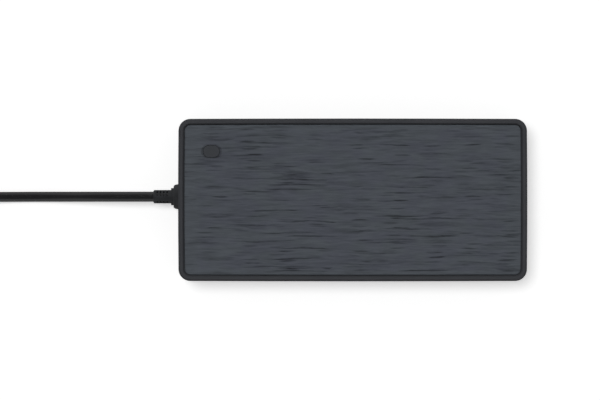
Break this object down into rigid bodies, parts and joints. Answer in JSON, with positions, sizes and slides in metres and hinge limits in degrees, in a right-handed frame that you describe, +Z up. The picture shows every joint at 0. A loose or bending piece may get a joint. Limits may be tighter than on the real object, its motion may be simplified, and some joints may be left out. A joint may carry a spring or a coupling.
{
  "type": "laptop docking station",
  "caption": "Slim desktop docking box for a laptop, with a captive cable, sockets in its front and rear walls and a power button in its top panel.",
  "frame": {"origin": "on the desk, under the middle of the case", "axes": "+X along the case away from the captive cable, +Y to the rear sockets, +Z up"},
  "size_m": [0.3487, 0.0976, 0.027],
  "materials": {
    "case_plastic": "fine moulded texture",
    "panel_plastic": "brushed, satin lacquer",
    "adhesive_tape": "thin double-sided tape",
    "foot_rubber": "matt",
    "zinc_steel": "plated",
    "board_laminate": "solder mask",
    "chip_epoxy": "moulded epoxy",
    "thermal_silicone": "soft pad",
    "black_aluminium": "black anodised",
    "can_aluminium": "drawn",
    "button_plastic": "satin",
    "switch_plastic": "moulded",
    "clear_acrylic": "clear moulded acrylic",
    "led_resin": "moulded resin",
    "socket_plastic": "moulded",
    "nickel_steel": "nickel plated, satin",
    "gold_contact": "gold plated",
    "cable_jacket": "satin jacket",
    "gland_rubber": "satin moulded",
    "plug_plastic": "fine moulded texture"
  },
  "bodies": {
    "dock": {"bottom_case": "case_plastic", "top_cover": "case_plastic", "top_panel": "panel_plastic", "panel_adhesive": "adhesive_tape", "front_port_plate": "case_plastic", "rear_port_plate": "case_plastic", "rubber_feet": "foot_rubber", "case_screws": "zinc_steel", "lock_plate": "zinc_steel", "main_board": "board_laminate", "board_screws": "zinc_steel", "display_chip": "chip_epoxy", "thermal_pad": "thermal_silicone", "heat_sink": "black_aluminium", "hub_chip": "chip_epoxy", "ethernet_chip": "chip_epoxy", "ethernet_transformer": "chip_epoxy", "capacitors": "can_aluminium", "inductors": "chip_epoxy", "crystals": "can_aluminium", "switch_housing": "switch_plastic", "status_led": "led_resin", "light_pipe": "clear_acrylic", "audio_jack": "socket_plastic", "cable_gland": "gland_rubber", "cable_run": "cable_jacket", "cable_coil": "cable_jacket", "cable_tail": "cable_jacket", "cable_lead": "cable_jacket", "cable_clamp": "switch_plastic", "clamp_screws": "zinc_steel", "cable_header": "switch_plastic", "plug_overmould": "plug_plastic", "plug_shell": "nickel_steel", "plug_insert": "socket_plastic", "dc_jack_housing": "socket_plastic", "dc_jack_pin": "gold_contact", "ethernet_shell": "nickel_steel", "ethernet_insert": "socket_plastic", "ethernet_contacts": "gold_contact", "hdmi_shell_1": "nickel_steel", "hdmi_tongue_1": "socket_plastic", "hdmi_contacts_1": "gold_contact", "hdmi_shell_2": "nickel_steel", "hdmi_tongue_2": "socket_plastic", "hdmi_contacts_2": "gold_contact", "usb_a_shell_1": "nickel_steel", "usb_a_tongue_1": "socket_plastic", "usb_a_contacts_1": "gold_contact", "usb_a_shell_2": "nickel_steel", "usb_a_tongue_2": "socket_plastic", "usb_a_contacts_2": "gold_contact", "usb_a_shell_3": "nickel_steel", "usb_a_tongue_3": "socket_plastic", "usb_a_contacts_3": "gold_contact", "usb_c_shell": "nickel_steel", "usb_c_tongue": "socket_plastic"},
    "button": {"power_button": "button_plastic", "switch_plunger": "switch_plastic"}
  },
  "joints": [
    {"name": "button_press", "type": "slide", "parent": "dock", "child": "button", "axis": [0, 0, -1], "range_m": [0, 0.0005], "stiffness_N_per_m": 600}
  ]
}
